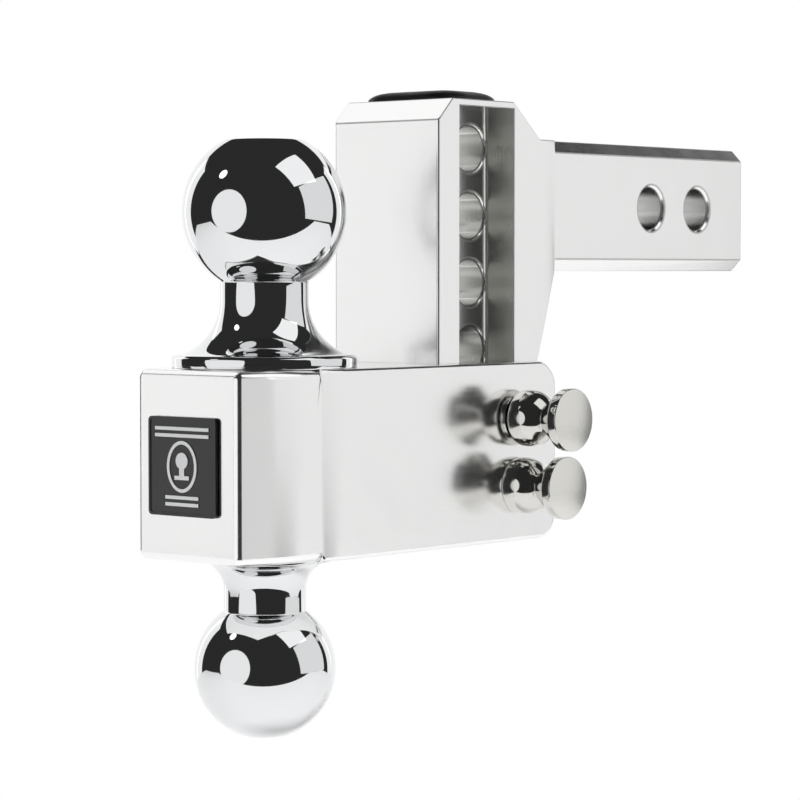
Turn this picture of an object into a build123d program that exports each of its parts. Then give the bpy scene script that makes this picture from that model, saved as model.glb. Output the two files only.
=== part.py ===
"""Adjustable two-ball trailer hitch: polished aluminium drawbar and ball mount, steel balls and pins.

Millimetres. +X runs along the shank toward the vehicle, +Y is the vehicle's left as seen from
behind, +Z is up. The origin is the centre of the front hitch-pin bore, on the shank's axis.
"""
from build123d import *
from math import cos, radians, sin, sqrt
import os

# ---------------------------------------------------------------- driving dimensions
# Shank, which slides into a 2 inch receiver tube
SHANK_SIZE = 50.4            # width and height
SHANK_CHAMFER = 4.6          # on the four long edges
SHANK_REACH = 67.6           # front hitch-pin bore to the shank's end
SHANK_END_CHAMFER = 3.0
HITCH_BORE = 16.7            # for a 5/8 inch hitch pin
HITCH_BORE_MOUTH = 19.2      # countersunk mouth
HITCH_BORE_PITCH = 32.4

# Column, the upright part of the drawbar that carries the row of pin holes
PIN_ROW_SETBACK = 99.4       # front hitch-pin bore to the axis of the pin holes
COLUMN_WIDTH = 51.6
COLUMN_TOP = 38.8            # above the shank's axis
TOP_HOLE_DROP = 17.6         # column top to the top hole's axis
HOLE_PITCH = 25.4
HOLE_COUNT = 6
HOLE_SLACK = 0.79            # between a mount pin and a column hole, all round
HOLE_EDGE_BREAK = 0.9
FLANGE_LEAD = 35.6           # pin row to the column's front face
FLANGE_THICKNESS = 12.2
CHANNEL_SLACK = 1.16         # between a mount pin and the channel's rear wall
WEB_THICKNESS = 23.6         # metal left between the two side channels
CHANNEL_FILLET = 1.6
CHANNEL_ROOF = 2.6           # the channels stop this far below the column's top
FRONT_CHAMFER = 8.2          # across the column's front, top and bottom
COLUMN_EDGE = 1.2            # rounding of the long outer edges
GUSSET_RUN = 16.2            # slope from the column's top down to the shank
ROOT_LEAD = 64.0             # front hitch-pin bore back to where the column's side ends
ROOT_BLEND = 7.0             # length over which column width becomes shank width
REAR_WALL = 10.4             # thickness behind the channels at the column's foot
TAPER_DROP = 47.0            # shank's underside to where the rear face turns upright
ROOT_FILLET = 8.0

# Plastic plug in the column's top
PLUG_LENGTH = 35.5
PLUG_WIDTH = 46.0
PLUG_CORNER = 12.5
PLUG_HEIGHT = 4.0
PLUG_BEVEL = 1.6
PLUG_BORE = 14.0
PLUG_STEM = 10.0             # length of the stem in its bore
PLUG_BORE_DEPTH = 12.0

# Ball mount, the yoke that straddles the column
MOUNT_HEIGHT = 67.2
UPPER_PIN_HOLE = 5           # the mount's upper pin passes the column's fifth hole
BALL_SETBACK = 102.1         # pin row to the ball axis
NOSE_LEAD = 39.5             # ball axis to the nose's front face
NOSE_FRONT = 48.2            # width of the flat front face
NOSE_WIDTH = 65.6            # at the crease, where the bowed sides end
NOSE_CORNER = 3.4            # plan radius of the front face's upright edges
ARM_WIDTH = 71.0             # across both arms
CREASE_LEAD = 6.4            # ball axis forward to where the nose's side ends
FLARE_END = 12.0             # ball axis back to where the arm's side is flat
ARM_TAIL = 23.3              # pin row to the arms' ends
ARM_TAIL_CORNER = 10.0       # rounded corners at the arms' ends, seen from the side
NOSE_ROUND = 3.2             # edge rounding on the nose
ARM_ROUND = 1.5              # edge rounding on the arms
SLIDE_GAP = 0.4              # between column and arms, each side
FORE_GAP = 0.5               # between column and pocket, fore and aft
MOUNT_PIN_SLACK = 0.41       # between a mount pin and its bore in the arms, all round
BALL_BORE_GAP = 0.2          # between ball shank and its bore, each side

# Tow balls
UPPER_BALL = 58.7375         # 2-5/16 inch
UPPER_BALL_RISE = 55.3       # mount's top face to the ball's centre
UPPER_FLAT = 28.6            # diameter of the flat on top
UPPER_NECK = 31.75
UPPER_FLANGE = 66.4
UPPER_FLANGE_THICKNESS = 4.6
UPPER_FLARE_TOP = 24.0       # where the flare runs into the neck
UPPER_FLARE_BASE = 60.0      # flare's diameter at the flange
LOWER_BALL = 50.8            # 2 inch
LOWER_BALL_DROP = 40.6       # mount's underside to the ball's centre
LOWER_FLAT = 16.0
LOWER_NECK = 29.6
LOWER_FOOT = 49.0
LOWER_FOOT_THICKNESS = 1.8
LOWER_FLARE_END = 12.4
BALL_SHANK = 25.4
BALL_THREAD = 20.0           # length of the shank that the lower ball screws onto

# Hitch pins through mount and column, with their clips
PIN = 15.875                 # 5/8 inch
PIN_GRIP = 79.4              # head's seat to the clip hole, 3-1/8 inch
PIN_END = 8.0                # beyond the clip hole
PIN_TIP_CHAMFER = 1.6
UPPER_PIN_OUT = 2.6          # how far the upper pin stands out of its seat at rest
KNOB_BALL = 21.6             # round part of the head
KNOB_BALL_CENTRE = 2.6       # from the seat
KNOB_WAIST = 11.2
KNOB_DISC = 23.4
KNOB_LENGTH = 23.2
KNOB_RIM = 3.6
KNOB_RIM_ROUND = 0.5
CLIP_WIRE = 3.0
CLIP_SLACK = 0.3             # between the wire and its hole in the pin, all round
CLIP_GAP = 0.05              # between the sprung leg and the pin
CLIP_TIP = 18.0              # straight leg beyond the pin's axis
CLIP_EYE = 26.0              # eye's far side from the pin's axis
CLIP_EYE_HEIGHT = 11.6

# Name plate on the nose
PLATE_WIDTH = 32.6
PLATE_HEIGHT = 34.6
PLATE_ASIDE = 1.1            # off the nose's middle, toward the vehicle's left
PLATE_CORNER = 1.6
PLATE_THICKNESS = 1.1
PLATE_RIM = 0.9
PLATE_SINK = 0.3             # recess of the field inside the rim
GLUE_THICKNESS = 0.4
GLUE_INSET = 1.2
EMBLEM_HEIGHT = 0.3
EMBLEM_RING_WIDTH = 14.4     # an upright oval ring
EMBLEM_RING_HEIGHT = 18.0
EMBLEM_LINE = 1.2
EMBLEM_BAR_PITCH = 2.4       # between the two lines of a double bar
UPPER_BAR = 26.0
LOWER_BAR = 16.0

# ---------------------------------------------------------------- places worked out from them
HALF_SHANK = SHANK_SIZE / 2
CLIP_HOLE = CLIP_WIRE + 2 * CLIP_SLACK
COLUMN_HOLE = PIN + 2 * HOLE_SLACK
CHANNEL_BEHIND = PIN / 2 + CHANNEL_SLACK
MOUNT_PIN_BORE = PIN + 2 * MOUNT_PIN_SLACK
PIN_ROW_X = -PIN_ROW_SETBACK
COLUMN_FRONT = PIN_ROW_X - FLANGE_LEAD
CHANNEL_FRONT = COLUMN_FRONT + FLANGE_THICKNESS
CHANNEL_REAR = PIN_ROW_X + CHANNEL_BEHIND
FOOT_REAR = CHANNEL_REAR + REAR_WALL
COLUMN_HEIGHT = 2 * TOP_HOLE_DROP + (HOLE_COUNT - 1) * HOLE_PITCH
COLUMN_FOOT = COLUMN_TOP - COLUMN_HEIGHT
HOLE_Z = [COLUMN_TOP - TOP_HOLE_DROP - i * HOLE_PITCH for i in range(HOLE_COUNT)]
UPPER_PIN_Z = HOLE_Z[UPPER_PIN_HOLE - 1]
LOWER_PIN_Z = UPPER_PIN_Z - HOLE_PITCH
MOUNT_MID = (UPPER_PIN_Z + LOWER_PIN_Z) / 2
MOUNT_TOP = MOUNT_MID + MOUNT_HEIGHT / 2
MOUNT_FOOT = MOUNT_MID - MOUNT_HEIGHT / 2
BALL_X = PIN_ROW_X - BALL_SETBACK
NOSE_X = BALL_X - NOSE_LEAD
TAIL_X = PIN_ROW_X + ARM_TAIL
PLATEAU_FRONT = COLUMN_FRONT + FRONT_CHAMFER
PLUG_X = (PLATEAU_FRONT + CHANNEL_REAR) / 2
ARM_SEAT_Y = -ARM_WIDTH / 2


def y_cylinder(diameter, x, z, y_from, y_to):
    """A cylinder along Y between two Y values."""
    middle = (y_from + y_to) / 2
    return Pos(x, middle, z) * Rot(90, 0, 0) * Cylinder(diameter / 2, abs(y_to - y_from))


def y_cone(small, large, x, z, y_small, y_large):
    """A cone along Y, for the countersunk mouth of a hole."""
    points = [(0, y_small), (small / 2, y_small), (large / 2, y_large), (0, y_large)]
    face = make_face(Polyline(*points, close=True))
    return Pos(x, 0, z) * revolve(face, Axis.Y)


def side_profile(points, half_width):
    """A solid whose outline in X and Z is given, from -half_width to +half_width in Y."""
    outline = Plane.XZ * make_face(Polyline(*points, close=True))
    return extrude(outline, half_width, both=True)


def drilled(body, diameter, mouth, x, z, half_width):
    """Cut a hole along Y with a countersunk mouth at each side of a wall."""
    depth = (mouth - diameter) / 2
    body = body - y_cylinder(diameter, x, z, -half_width - 1, half_width + 1)
    for side in (-1, 1):
        body = body - y_cone(diameter, mouth, x, z, side * (half_width - depth), side * half_width)
    return body


def shank():
    """The square bar that slides into the receiver, with its long edges chamfered."""
    section = Plane.YZ * chamfer(Rectangle(SHANK_SIZE, SHANK_SIZE).vertices(), SHANK_CHAMFER)
    bar = Pos(PIN_ROW_X + CHANNEL_BEHIND + 1, 0, 0) * extrude(section, SHANK_REACH - CHANNEL_REAR - 1)
    end = bar.faces().sort_by(Axis.X)[-1]
    return chamfer(end.edges(), SHANK_END_CHAMFER)


def column():
    """The upright, with its sloping gusset above the shank and its tapered back below."""
    c = FRONT_CHAMFER
    root = -ROOT_LEAD
    points = [
        (COLUMN_FRONT, COLUMN_FOOT + c), (COLUMN_FRONT, COLUMN_TOP - c), (COLUMN_FRONT + c, COLUMN_TOP),
        (CHANNEL_REAR, COLUMN_TOP), (CHANNEL_REAR + GUSSET_RUN, HALF_SHANK), (root, HALF_SHANK),
        (root, -HALF_SHANK), (FOOT_REAR, -HALF_SHANK - TAPER_DROP), (FOOT_REAR, COLUMN_FOOT),
        (COLUMN_FRONT + c, COLUMN_FOOT),
    ]
    body = side_profile(points, COLUMN_WIDTH / 2)
    wide, narrow = COLUMN_WIDTH / 2, HALF_SHANK
    plan = [
        (COLUMN_FRONT, -wide), (root - ROOT_BLEND, -wide), (root, -narrow),
        (root, narrow), (root - ROOT_BLEND, wide), (COLUMN_FRONT, wide),
    ]
    outline = make_face(Polyline(*plan, close=True))
    front_corners = outline.vertices().sort_by(Axis.X)[:2]
    limit = extrude(fillet(front_corners, COLUMN_EDGE), COLUMN_HEIGHT + 2)
    return body & (Pos(0, 0, COLUMN_FOOT - 1) * limit)


def channels():
    """The two side channels that the mount's ribs run in, open at the foot only."""
    depth = (COLUMN_WIDTH - WEB_THICKNESS) / 2
    middle = (CHANNEL_FRONT + CHANNEL_REAR) / 2
    width = CHANNEL_REAR - CHANNEL_FRONT
    length = COLUMN_HEIGHT + 1 - CHANNEL_ROOF
    cut = None
    for side in (-1, 1):
        outline = Pos(middle, side * (WEB_THICKNESS / 2 + depth), 0) * Rectangle(width, 2 * depth)
        floor = outline.vertices().sort_by(Axis.Y)
        inner = floor[-2:] if side < 0 else floor[:2]
        tool = Pos(0, 0, COLUMN_FOOT - 1) * extrude(fillet(inner, CHANNEL_FILLET), length)
        cut = tool if cut is None else cut + tool
    return cut


def root_fillet():
    """The rounded inside corner between the shank's underside and the column's back."""
    root, under, reach = -ROOT_LEAD, -HALF_SHANK, 2 * ROOT_FILLET
    slope = (FOOT_REAR - root) / TAPER_DROP
    points = [
        (root, under), (root + reach, under), (root + reach, under + 1), (root - reach, under + 1),
        (root + slope * reach - 1, under - reach), (root + slope * reach, under - reach),
    ]
    outline = make_face(Polyline(*points, close=True))
    corner = outline.vertices().sort_by_distance((root, under, 0))[0]
    return extrude(Plane.XZ * fillet(corner, ROOT_FILLET), HALF_SHANK - SHANK_CHAMFER, both=True)


def drawbar():
    """Shank and column as one machined forging."""
    body = shank() + column() - channels()
    for z in HOLE_Z:
        mouth = COLUMN_HOLE + 2 * HOLE_EDGE_BREAK
        body = drilled(body, COLUMN_HOLE, mouth, PIN_ROW_X, z, WEB_THICKNESS / 2)
    for i in range(2):
        body = drilled(body, HITCH_BORE, HITCH_BORE_MOUTH, i * HITCH_BORE_PITCH, 0, HALF_SHANK)
    body = body - Pos(PLUG_X, 0, COLUMN_TOP - PLUG_BORE_DEPTH / 2) * Cylinder(PLUG_BORE / 2, PLUG_BORE_DEPTH)
    return body + root_fillet()


def column_plug():
    """A moulded plug: a bevelled oblong head and a stem pressed into the column's top."""
    face = fillet(Rectangle(PLUG_LENGTH, PLUG_WIDTH).vertices(), PLUG_CORNER)
    head = extrude(face, PLUG_HEIGHT)
    head = chamfer(head.faces().sort_by(Axis.Z)[-1].edges(), PLUG_BEVEL)
    stem = Pos(0, 0, -PLUG_STEM / 2) * Cylinder(PLUG_BORE / 2, PLUG_STEM)
    return Pos(PLUG_X, 0, COLUMN_TOP) * (head + stem)


def mount_plan():
    """The mount seen from above: flat front, bowed sides, crease, flare, and two arms as one outline."""
    front_y, nose_y, arm_y = NOSE_FRONT / 2, NOSE_WIDTH / 2, ARM_WIDTH / 2
    crease = BALL_X - CREASE_LEAD
    flare = BALL_X + FLARE_END
    lines = [Line((NOSE_X, -front_y), (NOSE_X, front_y)), Line((TAIL_X, -arm_y), (TAIL_X, arm_y))]
    for side in (-1, 1):
        lines.append(TangentArc((crease, side * nose_y), (NOSE_X, side * front_y), tangent=(-1, 0)))
        lines.append(TangentArc((flare, side * arm_y), (crease, side * nose_y), tangent=(-1, 0)))
        lines.append(Line((flare, side * arm_y), (TAIL_X, side * arm_y)))
    outline = make_face(lines)
    return fillet(outline.vertices().sort_by(Axis.X)[:2], NOSE_CORNER)


def long_edges(block):
    """The edges round a block's top and foot, apart from its square ends."""
    faces = block.faces().sort_by(Axis.Z)
    return [e for face in (faces[0], faces[-1]) for e in face.edges() if e.bounding_box().size.X > 1]


def mount_blank():
    """The mount's outside: large rounding round the nose, small along the arms and their tails."""
    blank = Pos(0, 0, MOUNT_FOOT) * extrude(mount_plan(), MOUNT_HEIGHT)
    tails = blank.edges().filter_by(Axis.Y).sort_by(Axis.X)[-2:]
    blank = fillet(tails, ARM_TAIL_CORNER)
    crease = BALL_X - CREASE_LEAD
    nose = split(blank, Plane((crease, 0, 0), z_dir=(-1, 0, 0)))
    arms = split(blank, Plane((crease, 0, 0), z_dir=(1, 0, 0)))
    front = [e for e in nose.edges().filter_by(Axis.Y) if e.center().X < crease - 1]
    return fillet(long_edges(nose) + front, NOSE_ROUND) + fillet(long_edges(arms), ARM_ROUND)


def rib_block(side):
    """The rib on the inside of one arm that fills the column's side channel."""
    inner = WEB_THICKNESS / 2 + SLIDE_GAP
    outer = COLUMN_WIDTH / 2 + SLIDE_GAP + 1
    x_from, x_to = CHANNEL_FRONT + FORE_GAP, CHANNEL_REAR - FORE_GAP
    outline = Pos((x_from + x_to) / 2, side * (inner + outer) / 2) * Rectangle(x_to - x_from, outer - inner)
    ends = outline.vertices().sort_by(Axis.Y)
    tip = ends[-2:] if side < 0 else ends[:2]
    rib = Pos(0, 0, MOUNT_FOOT) * extrude(fillet(tip, CHANNEL_FILLET + FORE_GAP), MOUNT_HEIGHT)
    return rib


def ball_mount():
    """The yoke: solid nose, pocket for the column, and two arms with ribs and pin bores."""
    body = mount_blank()
    half = COLUMN_WIDTH / 2 + SLIDE_GAP
    front = COLUMN_FRONT - FORE_GAP
    pocket = Pos((front + TAIL_X + 1) / 2, 0, MOUNT_MID) * Box(TAIL_X + 1 - front, 2 * half, MOUNT_HEIGHT + 2)
    body = body - pocket
    for side in (-1, 1):
        body = body + rib_block(side)
    for z in (UPPER_PIN_Z, LOWER_PIN_Z):
        body = body - y_cylinder(MOUNT_PIN_BORE, PIN_ROW_X, z, -ARM_WIDTH, ARM_WIDTH)
    bore = BALL_SHANK / 2 + BALL_BORE_GAP
    return body - Pos(BALL_X, 0, MOUNT_MID) * Cylinder(bore, MOUNT_HEIGHT + 2)


def spun(edges, x, y, z):
    """Revolve a half outline, drawn in X and Z, about the Z axis and put it in place."""
    return Pos(x, y, z) * revolve(Plane.XZ * make_face(edges), Axis.Z)


def upper_ball():
    """The larger ball with its neck, flange and the shank that passes through the mount."""
    r, neck, flat = UPPER_BALL / 2, UPPER_NECK / 2, UPPER_FLAT / 2
    top = UPPER_BALL_RISE + sqrt(r * r - flat * flat)
    under = UPPER_BALL_RISE - sqrt(r * r - neck * neck)
    foot = -MOUNT_HEIGHT - BALL_THREAD
    shank_r = BALL_SHANK / 2
    edges = [
        Line((0, top), (flat, top)),
        ThreePointArc((flat, top), (r, UPPER_BALL_RISE), (neck, under)),
        Line((neck, under), (neck, UPPER_FLARE_TOP)),
        TangentArc((neck, UPPER_FLARE_TOP), (UPPER_FLARE_BASE / 2, UPPER_FLANGE_THICKNESS), tangent=(0, -1)),
        Line((UPPER_FLARE_BASE / 2, UPPER_FLANGE_THICKNESS), (UPPER_FLANGE / 2 - 1, UPPER_FLANGE_THICKNESS)),
        Line((UPPER_FLANGE / 2 - 1, UPPER_FLANGE_THICKNESS), (UPPER_FLANGE / 2, UPPER_FLANGE_THICKNESS - 1)),
        Line((UPPER_FLANGE / 2, UPPER_FLANGE_THICKNESS - 1), (UPPER_FLANGE / 2, 0)),
        Line((UPPER_FLANGE / 2, 0), (shank_r, 0)),
        Line((shank_r, 0), (shank_r, foot)),
        Line((shank_r, foot), (0, foot)),
        Line((0, foot), (0, top)),
    ]
    return spun(edges, BALL_X, 0, MOUNT_TOP)


def lower_ball():
    """The smaller ball, bored to screw onto the upper ball's shank."""
    r, neck, flat = LOWER_BALL / 2, LOWER_NECK / 2, LOWER_FLAT / 2
    centre = -LOWER_BALL_DROP
    bottom = centre - sqrt(r * r - flat * flat)
    over = centre + sqrt(r * r - neck * neck)
    foot, bore = LOWER_FOOT / 2, BALL_SHANK / 2
    edges = [
        Line((bore, 0), (foot, 0)),
        Line((foot, 0), (foot, -LOWER_FOOT_THICKNESS)),
        TangentArc((neck, -LOWER_FLARE_END), (foot, -LOWER_FOOT_THICKNESS), tangent=(0, 1)),
        Line((neck, -LOWER_FLARE_END), (neck, over)),
        ThreePointArc((neck, over), (r, centre), (flat, bottom)),
        Line((flat, bottom), (0, bottom)),
        Line((0, bottom), (0, -BALL_THREAD)),
        Line((0, -BALL_THREAD), (bore, -BALL_THREAD)),
        Line((bore, -BALL_THREAD), (bore, 0)),
    ]
    return spun(edges, BALL_X, 0, MOUNT_FOOT)


def hitch_pin(z, out):
    """A turned pin: round head, waist and pull disc outside the arm, shaft through to the clip."""
    ball, waist, disc = KNOB_BALL / 2, KNOB_WAIST / 2, KNOB_DISC / 2
    seat = sqrt(ball * ball - KNOB_BALL_CENTRE * KNOB_BALL_CENTRE)
    waist_y = KNOB_BALL_CENTRE + sqrt(ball * ball - waist * waist)
    rim, e = KNOB_LENGTH - KNOB_RIM, KNOB_RIM_ROUND
    tip, c, r = PIN_GRIP + PIN_END, PIN_TIP_CHAMFER, PIN / 2
    edges = [
        Line((0, -KNOB_LENGTH), (disc - e, -KNOB_LENGTH)),
        Line((disc - e, -KNOB_LENGTH), (disc, -KNOB_LENGTH + e)),
        Line((disc, -KNOB_LENGTH + e), (disc, -rim)),
        Line((disc, -rim), (waist, -waist_y)),
        ThreePointArc((waist, -waist_y), (ball, -KNOB_BALL_CENTRE), (seat, 0)),
        Line((seat, 0), (r, 0)),
        Line((r, 0), (r, tip - c)),
        Line((r, tip - c), (r - c, tip)),
        Line((r - c, tip), (0, tip)),
        Line((0, tip), (0, -KNOB_LENGTH)),
    ]
    pin = revolve(make_face(edges), Axis.Y)
    hole = Pos(0, PIN_GRIP, 0) * Rot(0, 90, 0) * Cylinder(CLIP_HOLE / 2, PIN + 2)
    return Pos(PIN_ROW_X, ARM_SEAT_Y - out, z) * (pin - hole)


def pin_clip(z, out):
    """A hairpin clip of round wire: straight leg, eye, and a leg sprung over the pin."""
    wire = CLIP_WIRE / 2
    crown = PIN / 2 + wire + CLIP_GAP
    half = radians(30)
    shoulder = crown / cos(half)
    run = 0.72 * crown
    right = (shoulder * sin(half) + run * sin(half), crown - run * cos(half))
    left = (-right[0], right[1])
    eye = CLIP_EYE_HEIGHT
    points = [
        (-CLIP_TIP, 0), (CLIP_EYE, 0), (CLIP_EYE, eye), (CLIP_EYE - 0.75 * eye, eye), right,
        (shoulder * sin(half), crown), (-shoulder * sin(half), crown), left,
        (left[0] - 0.55 * crown, left[1] + 0.45 * crown),
    ]
    bends = [0.45 * eye, 0.45 * eye, 0.3 * eye, 1.1 * wire, 0.8 * crown, 0.8 * crown, 1.1 * wire]
    path = Plane.XZ * FilletPolyline(*points, radius=bends)
    start = Plane(origin=path @ 0, z_dir=path % 0)
    clip = sweep(start * Circle(wire), path=path)
    return Pos(PIN_ROW_X, ARM_SEAT_Y - out + PIN_GRIP, z) * clip


def on_nose(flat, height, stand_off):
    """Stand a face drawn in X and Y upright on the nose and give it a thickness forward."""
    raised = extrude(flat, height)
    return Pos(NOSE_X - stand_off, PLATE_ASIDE, MOUNT_MID) * Rot(0, -90, 0) * Rot(0, 0, -90) * raised


def badge_outline(inset):
    """The badge's rounded oblong, drawn in by an even margin."""
    oblong = Rectangle(PLATE_WIDTH - 2 * inset, PLATE_HEIGHT - 2 * inset)
    return fillet(oblong.vertices(), PLATE_CORNER - inset / 2)


def plate_adhesive():
    """The foam pad that holds the badge on."""
    return on_nose(badge_outline(GLUE_INSET), GLUE_THICKNESS, 0)


def name_plate():
    """A flat badge with a raised rim."""
    plate = on_nose(badge_outline(0), PLATE_THICKNESS, GLUE_THICKNESS)
    field = badge_outline(PLATE_RIM)
    stand = GLUE_THICKNESS + PLATE_THICKNESS - PLATE_SINK
    return plate - on_nose(field, PLATE_SINK + 1, stand)


def name_plate_emblem():
    """A plain ball-and-post sign in an oval ring, with a double bar above and below."""
    wide, tall = EMBLEM_RING_WIDTH / 2, EMBLEM_RING_HEIGHT / 2
    ring = Ellipse(wide, tall) - Ellipse(wide - EMBLEM_LINE, tall - EMBLEM_LINE)
    u = EMBLEM_RING_HEIGHT / 18
    sign = Pos(0, 2.0 * u) * Circle(2.9 * u) + Pos(0, -1.6 * u) * Rectangle(2.4 * u, 4.0 * u)
    sign = sign + Pos(0, -3.9 * u) * Rectangle(7.0 * u, 1.4 * u)
    stand = GLUE_THICKNESS + PLATE_THICKNESS - PLATE_SINK
    solids = [on_nose(ring, EMBLEM_HEIGHT, stand), on_nose(sign, EMBLEM_HEIGHT, stand)]
    for length, side in ((UPPER_BAR, 1), (LOWER_BAR, -1)):
        for row in (1, 2):
            height = side * (tall + row * EMBLEM_BAR_PITCH - EMBLEM_LINE / 2)
            solids.append(on_nose(Pos(0, height) * Rectangle(length, EMBLEM_LINE), EMBLEM_HEIGHT, stand))
    return Compound(children=solids)


def main():
    os.makedirs("parts", exist_ok=True)
    nodes = {
        "drawbar": drawbar(),
        "column_top_plug": column_plug(),
        "ball_mount": ball_mount(),
        "upper_ball": upper_ball(),
        "lower_ball": lower_ball(),
        "upper_pin": hitch_pin(UPPER_PIN_Z, UPPER_PIN_OUT),
        "upper_pin_clip": pin_clip(UPPER_PIN_Z, UPPER_PIN_OUT),
        "lower_pin": hitch_pin(LOWER_PIN_Z, 0),
        "lower_pin_clip": pin_clip(LOWER_PIN_Z, 0),
        "plate_adhesive": plate_adhesive(),
        "name_plate": name_plate(),
        "name_plate_emblem": name_plate_emblem(),
    }
    for name, shape in nodes.items():
        export_step(shape, f"parts/{name}.step")
        size = shape.bounding_box().size
        print(f"{name}: {shape.volume:.0f} mm3, {size.X:.1f} x {size.Y:.1f} x {size.Z:.1f} mm")


main()
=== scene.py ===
# %% [markdown]
# # A polished aluminium trailer hitch
#
# This script dresses a hitch in Blender. The CAD model gives every place and size, so the first
# step loads it as a fixed frame. Round, mirror-bright pieces are then turned again here with many
# more steps than a CAD mesh has, because a mirror shows every flat facet. The big machined pieces
# keep their CAD shape and only gain finely rounded edges.

import math

import bmesh
import bpy
from mathutils import Matrix, Vector


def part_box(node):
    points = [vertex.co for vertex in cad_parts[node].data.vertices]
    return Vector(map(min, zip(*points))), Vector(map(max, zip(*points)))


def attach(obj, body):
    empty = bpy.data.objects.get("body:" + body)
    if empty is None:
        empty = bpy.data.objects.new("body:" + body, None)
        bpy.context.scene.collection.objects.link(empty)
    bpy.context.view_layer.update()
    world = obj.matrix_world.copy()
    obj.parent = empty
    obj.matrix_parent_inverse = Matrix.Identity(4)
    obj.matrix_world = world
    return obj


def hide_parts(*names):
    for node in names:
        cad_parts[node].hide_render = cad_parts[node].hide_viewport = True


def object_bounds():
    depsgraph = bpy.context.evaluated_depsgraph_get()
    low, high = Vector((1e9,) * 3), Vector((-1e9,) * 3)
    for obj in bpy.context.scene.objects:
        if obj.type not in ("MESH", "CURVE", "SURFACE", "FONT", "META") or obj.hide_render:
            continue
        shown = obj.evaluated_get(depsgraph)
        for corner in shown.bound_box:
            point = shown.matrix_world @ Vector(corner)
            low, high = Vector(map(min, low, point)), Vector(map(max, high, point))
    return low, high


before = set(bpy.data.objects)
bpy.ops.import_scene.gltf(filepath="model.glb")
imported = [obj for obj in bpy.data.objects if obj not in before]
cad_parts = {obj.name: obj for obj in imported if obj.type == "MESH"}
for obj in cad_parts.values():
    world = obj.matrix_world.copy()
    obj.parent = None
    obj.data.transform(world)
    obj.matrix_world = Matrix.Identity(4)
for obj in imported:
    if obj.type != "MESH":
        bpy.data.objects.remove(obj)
CAD_BOUNDS = [list(corner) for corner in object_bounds()]
MM = 0.001
print("nodes:", ", ".join(sorted(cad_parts)))

# %% [markdown]
# ## Small helpers for materials
#
# Colours are written as sRGB hex, the way a paint card gives them, and the shader wants linear
# values, so one function turns them. One more function adds a node with its settings and links,
# and every material below is built with it.

# %% Colour and node helpers


def linear(code):
    """Turn an sRGB hex colour into the linear RGBA that a shader wants."""
    channels = [int(code[i:i + 2], 16) / 255 for i in (1, 3, 5)]
    bent = [c / 12.92 if c <= 0.04045 else ((c + 0.055) / 1.055) ** 2.4 for c in channels]
    return (*bent, 1.0)


def add(tree, kind, inputs=None, **settings):
    """Add a node, set its properties, and fill or link its inputs."""
    node = tree.nodes.new("ShaderNode" + kind)
    for name, value in settings.items():
        setattr(node, name, value)
    for name, value in (inputs or {}).items():
        if isinstance(value, bpy.types.NodeSocket):
            tree.links.new(value, node.inputs[name])
        else:
            node.inputs[name].default_value = value
    return node


def start_material(name, **shader):
    """A material with a Principled shader whose plain sockets are set by name."""
    material = bpy.data.materials.new(name)
    material.use_nodes = True
    tree = material.node_tree
    surface = tree.nodes["Principled BSDF"]
    for socket, value in shader.items():
        surface.inputs[socket.replace("_", " ")].default_value = value
    place = add(tree, "TexCoord")
    return material, tree, surface, place.outputs["Object"]


def per_mm(size):
    """Texture scale for a feature that repeats every size millimetres."""
    return 1 / (size * MM)


# %% [markdown]
# ## Buffed aluminium
#
# The drawbar and the mount are machined from aluminium and buffed on cloth wheels. Buffing leaves
# a mirror that is a little cloudy: things close to it reflect sharply, and things further away
# blur. The wheel leaves faint parallel lines, and hand pressure leaves slow waves. The lines are
# really a few hundredths of a millimetre apart. They are drawn 0.4 mm apart, so that they show.

# %% Buffed aluminium


def buffed_aluminium(name, stretch, roughness, dull="#F4F4F4", bright="#FBFBFA"):
    """Cloudy mirror aluminium. stretch squeezes the buffing lines along one axis."""
    material, tree, surface, place = start_material(name, Metallic=1.0)
    lines_map = add(tree, "Mapping", {"Vector": place, "Scale": stretch})
    lines = add(tree, "TexNoise", {"Vector": lines_map.outputs[0], "Scale": per_mm(0.4),
                                   "Detail": 2.0, "Roughness": 0.5})
    waves = add(tree, "TexNoise", {"Vector": place, "Scale": per_mm(42), "Detail": 0.0})
    haze = add(tree, "TexNoise", {"Vector": place, "Scale": per_mm(16), "Detail": 4.0,
                                  "Roughness": 0.6})
    gloss = add(tree, "MapRange", {"Value": haze.outputs["Fac"], "From Min": 0.3, "From Max": 0.7,
                                   "To Min": roughness * 0.88, "To Max": roughness * 1.12})
    streak = add(tree, "MapRange", {"Value": lines.outputs["Fac"], "From Min": 0.3,
                                    "From Max": 0.7, "To Min": -0.02, "To Max": 0.02})
    rough = add(tree, "Math", {0: gloss.outputs[0], 1: streak.outputs[0]}, operation="ADD")
    tone = add(tree, "MixRGB", {"Fac": haze.outputs["Fac"], "Color1": linear(dull),
                                "Color2": linear(bright)})
    soft = add(tree, "Bump", {"Height": waves.outputs["Fac"], "Strength": 0.5,
                              "Distance": 0.03 * MM})
    fine = add(tree, "Bump", {"Height": lines.outputs["Fac"], "Strength": 0.35,
                              "Distance": 0.0015 * MM, "Normal": soft.outputs[0]})
    tree.links.new(tone.outputs[0], surface.inputs["Base Color"])
    tree.links.new(rough.outputs[0], surface.inputs["Roughness"])
    tree.links.new(fine.outputs[0], surface.inputs["Normal"])
    return material


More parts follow.
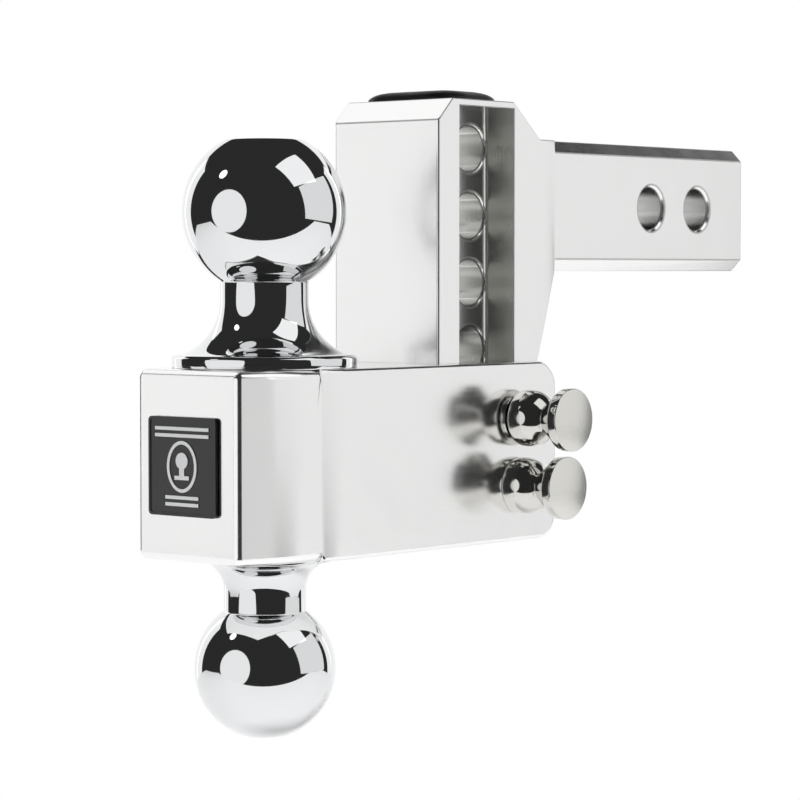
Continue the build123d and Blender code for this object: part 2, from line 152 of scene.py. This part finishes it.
LENGTHWISE = (0.03, 1.0, 1.0)
UPRIGHT = (1.0, 1.0, 0.03)
mount_metal = buffed_aluminium("buffed aluminium, lengthwise", LENGTHWISE, 0.18)
bar_metal = buffed_aluminium("buffed aluminium, upright", UPRIGHT, 0.2)
# The unbuffed metal's darker colour is painted shade for the channel walls and the insides of the mount's
# arms; its higher roughness is the milled finish.
recess_shade_metal = buffed_aluminium("milled aluminium, darkened as painted recess shade", UPRIGHT, 0.3, "#C6C6C2", "#D4D4D0")
print("materials:", mount_metal.name, "|", bar_metal.name, "|", recess_shade_metal.name)

# %% [markdown]
# ## Chrome and stainless steel
#
# A tow ball is forged steel under hard chrome, so it is the sharpest mirror on the hitch, a shade
# darker and bluer than aluminium. Chrome shows the room almost unchanged. A trace of haze where
# hands and couplers have touched keeps it from looking computed. The pins are turned stainless:
# nearly as bright, a little warmer, and their flat ends keep the rings that the lathe left.

# %% Chrome


def chrome(name, colour, roughness):
    """Mirror metal with a breath of haze and very slow waves."""
    material, tree, surface, place = start_material(name, Metallic=1.0)
    surface.inputs["Base Color"].default_value = linear(colour)
    haze = add(tree, "TexNoise", {"Vector": place, "Scale": per_mm(9), "Detail": 5.0,
                                  "Roughness": 0.65})
    gloss = add(tree, "MapRange", {"Value": haze.outputs["Fac"], "From Min": 0.35,
                                   "From Max": 0.75, "To Min": roughness * 0.6,
                                   "To Max": roughness * 1.8})
    waves = add(tree, "TexNoise", {"Vector": place, "Scale": per_mm(14), "Detail": 0.0})
    soft = add(tree, "Bump", {"Height": waves.outputs["Fac"], "Strength": 0.05,
                              "Distance": 0.10 * MM})
    tree.links.new(gloss.outputs[0], surface.inputs["Roughness"])
    tree.links.new(soft.outputs[0], surface.inputs["Normal"])
    return material


ball_chrome = chrome("hard chrome on forged steel", "#E5E6E7", 0.035)
pin_steel = chrome("polished stainless steel", "#D6D5D1", 0.06)

# %% [markdown]
# ## Turned faces
#
# A lathe tool leaves a spiral so fine that it looks like rings. The real rings are about 0.1 mm
# apart. They are drawn 0.9 mm apart, so that they show. They run round each piece's own axis, so a
# Mapping node moves the pattern's middle there. The wave texture takes its distance times twenty
# as an angle, which is why a full turn over twenty sets one ring.

# %% Turned steel
RING_PITCH = 0.9
low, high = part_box("upper_ball")
BALL_AXIS = Vector(((low.x + high.x) / 2, 0, 0))


def turned_face(name, colour, roughness, centre, axis):
    """Satin metal with lathe rings about an axis through centre."""
    material, tree, surface, place = start_material(name, Metallic=1.0, Roughness=roughness)
    surface.inputs["Base Color"].default_value = linear(colour)
    moved = add(tree, "Mapping", {"Vector": place, "Location": [-c for c in centre]})
    rings = add(tree, "TexWave", {"Vector": moved.outputs[0], "Scale": math.tau / 20 * per_mm(RING_PITCH),
                                  "Distortion": 0.15, "Detail": 1.0},
                wave_type="RINGS", rings_direction=axis)
    cut = add(tree, "Bump", {"Height": rings.outputs["Fac"], "Strength": 0.25,
                             "Distance": 0.02 * MM})
    tree.links.new(cut.outputs[0], surface.inputs["Normal"])
    return material


ball_flat = turned_face("faced chrome", "#D0D2D4", 0.12, BALL_AXIS, "Z")
# The edge metal's darker colour is a painted dark reflection along the bevelled edges; its higher
# roughness is the deburred finish.
dark_edge_line_metal = buffed_aluminium("deburred aluminium edge, painted dark reflection", LENGTHWISE, 0.42, "#C2C2C0", "#D2D2D0")

# %% [markdown]
# ## Plated wire, plastic, enamel and foam
#
# The clips are spring wire under zinc, which is softly grey with a faint mottle. The plug is
# moulded plastic whose mould was spark eroded, which gives a fine, even grain. The badge is
# satin black enamel, almost smooth, with metal marks on it, and foam tape holds it on.

# %% Zinc wire


def zinc_wire():
    """Softly grey plated wire; the mottle is the zinc's crystals, about 1.5 mm across."""
    material, tree, surface, place = start_material("zinc-plated spring wire", Metallic=1.0)
    mottle = add(tree, "TexNoise", {"Vector": place, "Scale": per_mm(1.5), "Detail": 3.0})
    tone = add(tree, "MixRGB", {"Fac": mottle.outputs["Fac"], "Color1": linear("#B3B4B0"),
                                "Color2": linear("#D2D2CC")})
    gloss = add(tree, "MapRange", {"Value": mottle.outputs["Fac"], "To Min": 0.22, "To Max": 0.42})
    tree.links.new(tone.outputs[0], surface.inputs["Base Color"])
    tree.links.new(gloss.outputs[0], surface.inputs["Roughness"])
    return material


def grained_plastic():
    """Black moulded polypropylene; the grain is 0.5 mm across and catches small glints."""
    material, tree, surface, place = start_material("black moulded polypropylene", IOR=1.49)
    grain = add(tree, "TexNoise", {"Vector": place, "Scale": per_mm(0.5), "Detail": 2.0})
    scuffs = add(tree, "TexNoise", {"Vector": place, "Scale": per_mm(7), "Detail": 4.0})
    tone = add(tree, "MixRGB", {"Fac": scuffs.outputs["Fac"], "Color1": linear("#141415"),
                                "Color2": linear("#1F1F21")})
    gloss = add(tree, "MapRange", {"Value": scuffs.outputs["Fac"], "To Min": 0.38, "To Max": 0.6})
    bump = add(tree, "Bump", {"Height": grain.outputs["Fac"], "Strength": 0.35,
                              "Distance": 0.06 * MM})
    tree.links.new(tone.outputs[0], surface.inputs["Base Color"])
    tree.links.new(gloss.outputs[0], surface.inputs["Roughness"])
    tree.links.new(bump.outputs[0], surface.inputs["Normal"])
    return material


def black_enamel():
    """Satin black enamel over metal: deep black, a soft clear top, slight orange peel."""
    material, tree, surface, place = start_material(
        "satin black enamel", IOR=1.5, Coat_Weight=0.35, Coat_Roughness=0.22)
    peel = add(tree, "TexNoise", {"Vector": place, "Scale": per_mm(1.6), "Detail": 1.0})
    dust = add(tree, "TexNoise", {"Vector": place, "Scale": per_mm(5), "Detail": 5.0})
    tone = add(tree, "MixRGB", {"Fac": dust.outputs["Fac"], "Color1": linear("#0A0A0B"),
                                "Color2": linear("#171718")})
    gloss = add(tree, "MapRange", {"Value": dust.outputs["Fac"], "To Min": 0.3, "To Max": 0.5})
    bump = add(tree, "Bump", {"Height": peel.outputs["Fac"], "Strength": 0.15,
                              "Distance": 0.05 * MM})
    tree.links.new(tone.outputs[0], surface.inputs["Base Color"])
    tree.links.new(gloss.outputs[0], surface.inputs["Roughness"])
    tree.links.new(bump.outputs[0], surface.inputs["Normal"])
    return material


def satin_mark():
    """Aluminium foil left satin, so that the badge's marks read pale against the black."""
    material, tree, surface, place = start_material("satin aluminium foil", Metallic=1.0)
    surface.inputs["Base Color"].default_value = linear("#DCDDDE")
    grain = add(tree, "TexNoise", {"Vector": place, "Scale": per_mm(0.35), "Detail": 2.0})
    gloss = add(tree, "MapRange", {"Value": grain.outputs["Fac"], "To Min": 0.3, "To Max": 0.5})
    tree.links.new(gloss.outputs[0], surface.inputs["Roughness"])
    return material


def foam_tape():
    """Closed-cell foam: dull, dark, with cells about 0.4 mm across along its cut edge."""
    material, tree, surface, place = start_material("closed-cell foam tape", Roughness=0.9)
    cells = add(tree, "TexVoronoi", {"Vector": place, "Scale": per_mm(0.4)})
    tone = add(tree, "MixRGB", {"Fac": cells.outputs["Distance"], "Color1": linear("#1B1B1C"),
                                "Color2": linear("#3A3A3B")})
    tree.links.new(tone.outputs[0], surface.inputs["Base Color"])
    return material


clip_zinc = zinc_wire()
plug_plastic = grained_plastic()
badge_black = black_enamel()
mark_metal = satin_mark()
tape_foam = foam_tape()
print("materials made:", len(bpy.data.materials))

# %% [markdown]
# ## Turned pieces
#
# Balls and pins come off a lathe, so they are made the same way: half an outline is drawn beside
# the axis, then spun round it. An arc of the outline is itself one point spun round the arc's
# centre. After the spin, only the crisp rings are bevelled, because a real edge is never razor
# sharp and the small round catches a line of light.

# %% Outline and spin helpers
RING_STEPS = 160
BALL_STEPS = 72
HEAD_STEPS = 40
FLARE_STEPS = 24


def go_to(bm, last, r, h):
    """Carry the outline straight on to radius r and height h."""
    new = bmesh.ops.extrude_vert_indiv(bm, verts=[last])["verts"][0]
    new.co = (r, 0, h)
    return new


def go_round(bm, last, centre_r, centre_h, degrees, steps):
    """Carry the outline on along an arc round a centre, clockwise when degrees is positive."""
    swept = bmesh.ops.spin(bm, geom=[last], cent=(centre_r, 0, centre_h), axis=(0, 1, 0),
                           angle=math.radians(degrees), steps=steps, use_duplicate=False)
    return [v for v in swept["geom_last"] if isinstance(v, bmesh.types.BMVert)][0]


def lathe(bm, edge_break):
    """Spin the outline a full turn about Z, then round its crisp rings."""
    bmesh.ops.spin(bm, geom=bm.verts[:] + bm.edges[:], cent=(0, 0, 0), axis=(0, 0, 1),
                   angle=math.tau, steps=RING_STEPS, use_merge=True, use_duplicate=False)
    bmesh.ops.remove_doubles(bm, verts=bm.verts, dist=0.005 * MM)
    crisp = [e for e in bm.edges if e.is_manifold and e.calc_face_angle() > math.radians(24)]
    bmesh.ops.bevel(bm, geom=crisp, offset=edge_break, offset_type="OFFSET", affect="EDGES",
                    segments=3, profile=0.5, material=-1, clamp_overlap=True)
    bmesh.ops.recalc_face_normals(bm, faces=bm.faces)


def finish_piece(bm, name, body, materials, crease_angle=35):
    """Make the mesh an object that rides its CAD body, and say how closed it is."""
    gaps = sum(not edge.is_manifold for edge in bm.edges)
    mesh = bpy.data.meshes.new(name)
    bm.to_mesh(mesh)
    bm.free()
    mesh.shade_smooth()
    mesh.set_sharp_from_angle(angle=math.radians(crease_angle))
    for material in materials:
        mesh.materials.append(material)
    piece = bpy.data.objects.new(name, mesh)
    bpy.context.scene.collection.objects.link(piece)
    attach(piece, body)
    print(name, len(mesh.polygons), "faces,", gaps, "open edges")
    return piece


def arc_angle(radius, distance):
    """Degrees from a ball's equator to where its half width has shrunk to distance."""
    return math.degrees(math.acos(distance / radius))


# %% [markdown]
# ## The upper ball
#
# It is 58.7 mm across, with a flat on top from turning, a straight neck, and a flare that ends in
# a flange on the mount. The neck meets the flare in one arc, found from where it must start and
# end.

# %% Upper ball
MOUNT_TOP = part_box("ball_mount")[1].z
MOUNT_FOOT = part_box("ball_mount")[0].z
SHANK_RADIUS = 12.7 * MM


def flare_radius(run, rise):
    """Radius of the arc that leaves a straight neck and spreads by run over a drop of rise."""
    return (run * run + rise * rise) / (2 * run)


def turned_upper_ball():
    low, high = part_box("upper_ball")
    ball, neck, flat = 29.36875 * MM, 15.875 * MM, 14.3 * MM
    centre = 55.3 * MM
    flange, thick, chamfer = 33.2 * MM, 4.6 * MM, 1.0 * MM
    flare_top, flare_base = 24.0 * MM, 30.0 * MM
    bend = flare_radius(flare_base - neck, flare_top - thick)
    bm = bmesh.new()
    last = bm.verts.new((0, 0, high.z - MOUNT_TOP))
    last = go_to(bm, last, flat, high.z - MOUNT_TOP)
    last = go_round(bm, last, 0, centre, arc_angle(ball, flat) + arc_angle(ball, neck), BALL_STEPS)
    last = go_to(bm, last, neck, flare_top)
    spread = math.degrees(math.asin((flare_top - thick) / bend))
    last = go_round(bm, last, neck + bend, flare_top, -spread, FLARE_STEPS)
    last = go_to(bm, last, flange - chamfer, thick)
    last = go_to(bm, last, flange, thick - chamfer)
    last = go_to(bm, last, flange, 0)
    last = go_to(bm, last, SHANK_RADIUS, 0)
    last = go_to(bm, last, SHANK_RADIUS, low.z - MOUNT_TOP)
    go_to(bm, last, 0, low.z - MOUNT_TOP)
    lathe(bm, 0.35 * MM)
    for face in bm.faces:
        face.material_index = int(face.calc_center_median().z > high.z - MOUNT_TOP - 0.02 * MM)
    bmesh.ops.translate(bm, vec=(BALL_AXIS.x, 0, MOUNT_TOP), verts=bm.verts)
    ball = finish_piece(bm, "upper_ball_turned", "ball_mount",
                        [ball_chrome, ball_flat])
    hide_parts("upper_ball")
    return ball


upper_ball = turned_upper_ball()

# %% [markdown]
# ## The lower ball
#
# The 50.8 mm ball hangs upside down and screws onto the upper ball's shank. Its foot is a small
# collar against the mount. The outline starts at the bottom of the blind bore that the shank fills,
# so the spun mesh is closed all round.

# %% Lower ball


def turned_lower_ball():
    ball, neck, flat = 25.4 * MM, 14.8 * MM, 8.0 * MM
    centre = -40.6 * MM
    foot, thick, flare_end = 24.5 * MM, 1.8 * MM, 12.4 * MM
    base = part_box("lower_ball")[0].z - MOUNT_FOOT
    bend = flare_radius(foot - neck, flare_end - thick)
    spread = math.degrees(math.asin((flare_end - thick) / bend))
    bm = bmesh.new()
    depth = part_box("upper_ball")[0].z - MOUNT_FOOT
    last = bm.verts.new((0, 0, depth))
    last = go_to(bm, last, SHANK_RADIUS, depth)
    last = go_to(bm, last, SHANK_RADIUS, 0)
    last = go_to(bm, last, foot, 0)
    last = go_to(bm, last, foot, -thick)
    corner = go_to(bm, last, neck + bend - bend * math.cos(math.radians(spread)), -thick)
    last = go_round(bm, corner, neck + bend, -flare_end, -spread, FLARE_STEPS)
    last = go_to(bm, last, neck, centre + math.sqrt(ball * ball - neck * neck))
    last = go_round(bm, last, 0, centre, arc_angle(ball, neck) + arc_angle(ball, flat), BALL_STEPS)
    go_to(bm, last, 0, base)
    lathe(bm, 0.3 * MM)
    for face in bm.faces:
        face.material_index = int(face.calc_center_median().z < base + 0.02 * MM)
    bmesh.ops.translate(bm, vec=(BALL_AXIS.x, 0, MOUNT_FOOT), verts=bm.verts)
    ball = finish_piece(bm, "lower_ball_turned", "ball_mount",
                        [ball_chrome, ball_flat])
    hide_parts("lower_ball")
    return ball


lower_ball = turned_lower_ball()

# %% [markdown]
# ## The hitch pins
#
# Each pin is one turned bar: a pull disc, a slim waist, a round head that seats on the arm, and a
# 15.9 mm shaft with a chamfered end. A small hole across the shaft takes the clip. A Boolean
# drills it, and the drilled mesh is kept in place of the plain one. A Boolean is only as good as
# the meshes that go in: points that lie on each other left gaps here, and a face count that
# changed from run to run. So close points are merged before and after, and the drill is turned a
# little, so that its edges don't line up with the pin's.

# %% Pins
PIN_GRIP = 79.4 * MM
CLIP_HOLE = 3.6 * MM
DRILL_SEGMENTS = 48
DRILL_TURN = 1.3
KNOB_LENGTH = 23.2 * MM


def merge_close(bm):
    """Merge points that lie on each other and drop faces and edges with no size."""
    bmesh.ops.remove_doubles(bm, verts=bm.verts, dist=0.003 * MM)
    bmesh.ops.dissolve_degenerate(bm, dist=0.002 * MM, edges=bm.edges)


def stand_in(bm, name):
    """A short-lived object for the Boolean to work on."""
    mesh = bpy.data.meshes.new(name)
    bm.to_mesh(mesh)
    bm.free()
    obj = bpy.data.objects.new(name, mesh)
    bpy.context.scene.collection.objects.link(obj)
    return obj


def drilled(bm, place, diameter, length):
    """Drill a hole along X through bm at place, and return the drilled mesh as a new bmesh."""
    merge_close(bm)
    whole = bm.calc_volume()
    bit = bmesh.new()
    bmesh.ops.create_circle(bit, cap_ends=True, segments=DRILL_SEGMENTS, radius=diameter / 2)
    end = bmesh.ops.extrude_face_region(bit, geom=bit.faces[:])["geom"]
    far = [v for v in end if isinstance(v, bmesh.types.BMVert)]
    bmesh.ops.translate(bit, vec=(0, 0, length), verts=far)
    bmesh.ops.translate(bit, vec=(0, 0, -length / 2), verts=bit.verts)
    for degrees, axis in ((DRILL_TURN, "Z"), (90, "Y")):
        turn = Matrix.Rotation(math.radians(degrees), 3, axis)
        bmesh.ops.rotate(bit, cent=(0, 0, 0), matrix=turn, verts=bit.verts)
    bmesh.ops.translate(bit, vec=place, verts=bit.verts)
    bmesh.ops.recalc_face_normals(bit, faces=bit.faces)
    work, drill = stand_in(bm, "undrilled"), stand_in(bit, "drill")
    cut = work.modifiers.new("clip_hole", "BOOLEAN")
    cut.operation, cut.solver, cut.object = "DIFFERENCE", "EXACT", drill
    result = bmesh.new()
    result.from_mesh(work.evaluated_get(bpy.context.evaluated_depsgraph_get()).to_mesh())
    for obj in (work, drill):
        bpy.data.objects.remove(obj)
    merge_close(result)
    bmesh.ops.recalc_face_normals(result, faces=result.faces)
    print("clip hole removes", round((whole - result.calc_volume()) / MM ** 3), "cubic mm")
    return result


def turned_pin(node):
    """A pin spun about Z and laid along Y, its seat at height 0 and its disc below."""
    low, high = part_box(node)
    ball, waist, disc, shaft = 10.8 * MM, 5.6 * MM, 11.7 * MM, 7.9375 * MM
    middle, rim = 2.6 * MM, 3.6 * MM
    tip, bevel = 87.4 * MM, 1.6 * MM
    rise = math.sqrt(ball * ball - waist * waist)
    bm = bmesh.new()
    last = bm.verts.new((0, 0, -KNOB_LENGTH))
    last = go_to(bm, last, disc, -KNOB_LENGTH)
    last = go_to(bm, last, disc, rim - KNOB_LENGTH)
    last = go_to(bm, last, waist, -middle - rise)
    sweep = arc_angle(ball, waist) + math.degrees(math.asin(middle / ball))
    last = go_round(bm, last, 0, -middle, -sweep, HEAD_STEPS)
    last = go_to(bm, last, shaft, 0)
    last = go_to(bm, last, shaft, tip - bevel)
    last = go_to(bm, last, shaft - bevel, tip)
    go_to(bm, last, 0, tip)
    lathe(bm, 0.4 * MM)
    for face in bm.faces:
        end = face.calc_center_median().z
        face.material_index = int(end < 0.02 * MM - KNOB_LENGTH or end > tip - 0.02 * MM)
    bmesh.ops.rotate(bm, cent=(0, 0, 0), matrix=Matrix.Rotation(math.radians(-90), 3, "X"),
                     verts=bm.verts)
    seat = Vector(((low.x + high.x) / 2, low.y + KNOB_LENGTH, (low.z + high.z) / 2))
    bmesh.ops.translate(bm, vec=seat, verts=bm.verts)
    bm = drilled(bm, seat + Vector((0, PIN_GRIP, 0)), CLIP_HOLE, 4 * shaft)
    ends = turned_face("faced stainless steel, " + node.replace("_", " "), "#E3E2DD", 0.22, seat, "Y")
    pin = finish_piece(bm, node + "_turned", node, [pin_steel, ends])
    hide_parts(node)
    return pin


pins = [turned_pin("upper_pin"), turned_pin("lower_pin")]

# %% [markdown]
# ## Machined pieces
#
# The drawbar and the mount keep their CAD shape. A copy of each is merged, its flat faces are
# joined, and each crisp outside edge gets a narrow bevel, as a deburring wheel leaves it. The
# bevel takes a rougher metal: the roughness is the unpolished deburred edge, and its darker
# colour is a painted dark reflection that reads as a thin grey line. Faces inside the column's
# channels and the mount's arms take a rougher milled metal whose darker colour is painted shade.

# %% Machined pieces


def machined(node, body, edge_break, materials, pocket):
    """A merged copy of a CAD node with broken edges; pocket picks the recess faces, whose darker metal is
    painted shade.
    """
    bm = bmesh.new()
    bm.from_mesh(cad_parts[node].data)
    bmesh.ops.remove_doubles(bm, verts=bm.verts, dist=0.002 * MM)
    bmesh.ops.dissolve_limit(bm, angle_limit=math.radians(0.5), verts=bm.verts, edges=bm.edges)
    crisp = [e for e in bm.edges if e.is_manifold and e.is_convex
             and e.calc_face_angle() > math.radians(26)]
    for face in bm.faces:
        # Recess faces take the second material, whose darker colour is painted shade.
        face.material_index = int(pocket(face.calc_center_median(), face.normal))
    bevel_faces = bmesh.ops.bevel(bm, geom=crisp, offset=edge_break, offset_type="OFFSET",
                           affect="EDGES", segments=3, profile=0.5, material=-1,
                           clamp_overlap=False)
    # The bevel faces take the edge metal, whose darker colour paints a dark reflection line.
    for face in bevel_faces["faces"]:
        face.material_index = 2
    piece = finish_piece(bm, node + "_machined", body, materials)
    weigh = piece.modifiers.new("flat_faces_first", "WEIGHTED_NORMAL")
    weigh.keep_sharp = True
    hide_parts(node)
    return piece


EDGE_BREAK = 0.4 * MM
HAIR = 0.1 * MM
CHANNEL_FRONT, CHANNEL_REAR, CHANNEL_ROOF = -122.8 * MM, -90.3 * MM, 36.2 * MM
COLUMN_SIDE = 25.8 * MM
POCKET_FRONT, POCKET_SIDE = -135.5 * MM, 26.2 * MM


def in_channel(point, normal):
    """True for the fore and aft walls of the column's two side channels."""
    along = CHANNEL_FRONT - HAIR < point.x < CHANNEL_REAR + HAIR
    inside = along and abs(point.y) < COLUMN_SIDE - 5 * HAIR and point.z < CHANNEL_ROOF + HAIR
    return inside and abs(normal.x) > 0.7


def in_yoke(point, normal):
    """True on the inside of the mount's two arms."""
    inside = point.x > POCKET_FRONT - HAIR and abs(point.y) < POCKET_SIDE + 2 * HAIR
    return inside and abs(normal.z) < 0.5


# Second material: darker metal as painted recess shade; third: darker metal as a painted dark reflection
# along the edges.
drawbar = machined("drawbar", "drawbar", EDGE_BREAK, [bar_metal, recess_shade_metal, dark_edge_line_metal],
                   in_channel)
mount = machined("ball_mount", "ball_mount", EDGE_BREAK, [mount_metal, recess_shade_metal, dark_edge_line_metal],
                 in_yoke)

# %% [markdown]
# ## The plug in the column's top
#
# It is a moulded cap with a thin rim and a shallow dome. The outline starts as a circle whose
# quarters are moved apart, which makes an oblong with true round corners. Insets that rise a
# little less each time then make the dome, and the last one closes it almost flat.

# %% Domed plug
PLUG_SEGMENTS = 96
PLUG_RIM = 0.9 * MM
DOME = ((1.2, 0.95), (1.6, 0.75), (2.0, 0.55), (2.4, 0.4), (2.6, 0.22), (1.6, 0.08))


def domed_plug():
    low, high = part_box("column_top_plug")
    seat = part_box("drawbar")[1].z
    corner = 12.5 * MM
    reach_x, reach_y = (high.x - low.x) / 2 - corner, (high.y - low.y) / 2 - corner
    bm = bmesh.new()
    bmesh.ops.create_circle(bm, cap_ends=True, segments=PLUG_SEGMENTS, radius=corner)
    half_step = Matrix.Rotation(math.pi / PLUG_SEGMENTS, 3, "Z")
    bmesh.ops.rotate(bm, cent=(0, 0, 0), matrix=half_step, verts=bm.verts)
    for vert in bm.verts:
        vert.co.x += math.copysign(reach_x, vert.co.x)
        vert.co.y += math.copysign(reach_y, vert.co.y)
    raised = bmesh.ops.extrude_face_region(bm, geom=bm.faces[:])
    top = [f for f in raised["geom"] if isinstance(f, bmesh.types.BMFace)]
    bmesh.ops.translate(bm, vec=(0, 0, PLUG_RIM), verts=top[0].verts[:])
    if top[0].normal.z < 0:
        bmesh.ops.reverse_faces(bm, faces=top)
    for step, lift in DOME:
        bmesh.ops.inset_region(bm, faces=top, thickness=step * MM, depth=lift * MM,
                               use_even_offset=True)
    rim = [e for e in bm.edges if e.is_manifold and min(v.co.z for v in e.verts) > HAIR
           and e.calc_face_angle() > math.radians(30)]
    bmesh.ops.bevel(bm, geom=rim, offset=0.3 * MM, offset_type="OFFSET", affect="EDGES",
                    segments=3, profile=0.5, material=-1, clamp_overlap=True)
    bmesh.ops.recalc_face_normals(bm, faces=bm.faces)
    bmesh.ops.translate(bm, vec=((low.x + high.x) / 2, 0, seat), verts=bm.verts)
    plug = finish_piece(bm, "column_plug_domed", "drawbar", [plug_plastic])
    print("plug top", round(max(v.co.z for v in plug.data.vertices) / MM, 2), "of",
          round(high.z / MM, 2), "mm")
    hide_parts("column_top_plug")
    return plug


plug = domed_plug()

# %% [markdown]
# ## Placing materials on the CAD pieces
#
# A CAD node keeps its mesh. It only needs its material slots filled.

# %% Dress the CAD nodes


def dress(node, material):
    """Give a CAD node one material."""
    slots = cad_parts[node].data.materials
    slots.clear()
    slots.append(material)


for node, material in (("name_plate", badge_black),
                       ("name_plate_emblem", mark_metal), ("plate_adhesive", tape_foam),
                       ("upper_pin_clip", clip_zinc), ("lower_pin_clip", clip_zinc)):
    dress(node, material)

# %% [markdown]
# ## The studio
#
# Polished metal has almost no colour of its own, so the light is the look. The hitch stands in a
# dark room over a white table, with white sheets behind it, a round lamp beside the camera and a
# large soft box at the right. Each lamp is far off and large, so that it reads as a clean shape in
# the chrome. What the camera sees directly is plain white paper.
#
# Three things here are chosen, not copied from a real studio:
#
# - Light linking. Three cards light the aluminium and the badge only, and table_wash lights the
#   table only. A retoucher would lift those areas afterwards; linking does it in the light.
# - The table glows a little by itself, so that the balls mirror a pale floor. It ends just short
#   of where the camera would see its far edge as a line.
# - The view transform is Standard. The default one rolls highlights off, so paper white would come
#   out as light grey.

# %% Studio directions
UP = Vector((0, 0, 1))
VIEW_ANGLE = math.radians(40.4)
AHEAD = Vector((math.cos(VIEW_ANGLE), math.sin(VIEW_ANGLE), 0))
RIGHT = Vector((math.sin(VIEW_ANGLE), -math.cos(VIEW_ANGLE), 0))
CENTRE = (Vector(CAD_BOUNDS[0]) + Vector(CAD_BOUNDS[1])) / 2


def toward(side, rise):
    """Direction from the hitch: side degrees right of the camera, rise degrees up."""
    side, rise = math.radians(side), math.radians(rise)
    level = RIGHT * math.sin(side) - AHEAD * math.cos(side)
    return level * math.cos(rise) + UP * math.sin(rise)


def aim(obj, place, target):
    obj.location = place
    obj.rotation_euler = (target - place).to_track_quat("-Z", "Y").to_euler()


def soft_light(name, side, rise, distance, width, height, radiance, shape="RECTANGLE"):
    """An area lamp of a given brightness, aimed at the hitch from far off."""
    lamp = bpy.data.lights.new(name, "AREA")
    lamp.shape = shape
    lamp.size, lamp.size_y = width, height
    area = width * height * (1 if shape == "RECTANGLE" else math.pi / 4)
    lamp.energy = radiance * area * math.pi
    obj = bpy.data.objects.new(name, lamp)
    bpy.context.scene.collection.objects.link(obj)
    aim(obj, CENTRE + toward(side, rise) * distance, CENTRE)
    return obj


# %% Lamps
soft_light("round_lamp", -48, 2, 2.4, 2.3, 2.3, 0.96, "ELLIPSE")
soft_light("side_box", 86, 14, 2.4, 2.5, 1.9, 0.83)
soft_light("top_box", 70, 52, 2.4, 1.7, 1.5, 1.05)
soft_light("back_sheet", 180, 8, 2.8, 5.2, 3.0, 1.0)
soft_light("kicker", -75, 42, 2.6, 0.45, 0.45, 2.0, "ELLIPSE")
left_card = soft_light("left_card", -86, 4, 2.2, 0.9, 2.2, 0.92)
high_card = soft_light("high_card", -125, 56, 2.2, 2.0, 1.6, 1.0)
near_card = soft_light("near_card", 41, 2, 2.2, 1.45, 2.2, 0.66)
table_wash = soft_light("table_wash", -20, 72, 2.4, 1.0, 1.0, 12.0)
soft_light("back_left_sheet", -129, 6, 2.7, 1.0, 2.6, 1.0)
soft_light("back_right_sheet", 131, 6, 2.7, 0.7, 2.6, 1.0)

# %% Table and room
# Metres: below the lower ball, then in front of, behind and beside the ball's axis.
TABLE_DROP = 0.126
TABLE_FRONT, TABLE_BACK, TABLE_ASIDE = 0.374, 0.54, 1.7
bm = bmesh.new()
bmesh.ops.create_grid(bm, x_segments=1, y_segments=1, size=1.0)
table_turn = Matrix.Rotation(VIEW_ANGLE, 4, "Z")
half_depth = (TABLE_FRONT + TABLE_BACK) / 2
bmesh.ops.scale(bm, vec=(half_depth, TABLE_ASIDE, 1), verts=bm.verts)
bmesh.ops.translate(bm, vec=(half_depth - TABLE_FRONT, 0, 0), verts=bm.verts)
bmesh.ops.transform(bm, matrix=table_turn, verts=bm.verts)
bmesh.ops.translate(bm, vec=(BALL_AXIS.x, 0, CAD_BOUNDS[0][2] - TABLE_DROP), verts=bm.verts)
mesh = bpy.data.meshes.new("table_top")
bm.to_mesh(mesh)
bm.free()
table = bpy.data.objects.new("table_top", mesh)
bpy.context.scene.collection.objects.link(table)
paper, tree, surface, place = start_material("lit white table top", Roughness=0.7,
                                             Emission_Strength=0.27)
surface.inputs["Base Color"].default_value = linear("#F4F4F4")
surface.inputs["Emission Color"].default_value = linear("#FFFFFF")
mesh.materials.append(paper)

world = bpy.data.worlds.new("dark room")
bpy.context.scene.world = world
bpy.context.scene.view_settings.view_transform = "Standard"
world.use_nodes = True
tree = world.node_tree
seen = add(tree, "LightPath")
dark = add(tree, "Background", {"Color": linear("#2E2E2E"), "Strength": 1.0})
white = add(tree, "Background", {"Color": linear("#FFFFFF"), "Strength": 1.0})
mix = add(tree, "MixShader", {"Fac": seen.outputs["Is Camera Ray"]})
tree.links.new(dark.outputs[0], mix.inputs[1])
tree.links.new(white.outputs[0], mix.inputs[2])
tree.links.new(mix.outputs[0], tree.nodes["World Output"].inputs["Surface"])

# %% Cards for the aluminium alone
shaded = bpy.data.collections.new("aluminium_pieces")
shaded.objects.link(drawbar)
shaded.objects.link(mount)
for node in ("name_plate", "name_plate_emblem"):
    shaded.objects.link(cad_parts[node])
for card in (left_card, high_card, near_card):
    card.light_linking.receiver_collection = shaded
floor_only = bpy.data.collections.new("floor_only")
floor_only.objects.link(table)
table_wash.light_linking.receiver_collection = floor_only

# %% [markdown]
# ## Camera
#
# A long lens, a metre away and level with the mount's top, looking slightly down.

# %% Camera
camera_data = bpy.data.cameras.new("camera")
camera = bpy.data.objects.new("camera", camera_data)
bpy.context.scene.collection.objects.link(camera)
bpy.context.scene.camera = camera
camera_data.sensor_width = 36
camera_data.lens = 130.6
camera_data.clip_start = 0.05
DISTANCE, ASIDE, RISE, PITCH = 1.0358, 0.0484, 0.0345, math.radians(2.555)
eye = BALL_AXIS + RIGHT * ASIDE - AHEAD * DISTANCE + UP * (MOUNT_TOP + RISE)
aim(camera, eye, eye + AHEAD * math.cos(PITCH) - UP * math.sin(PITCH))
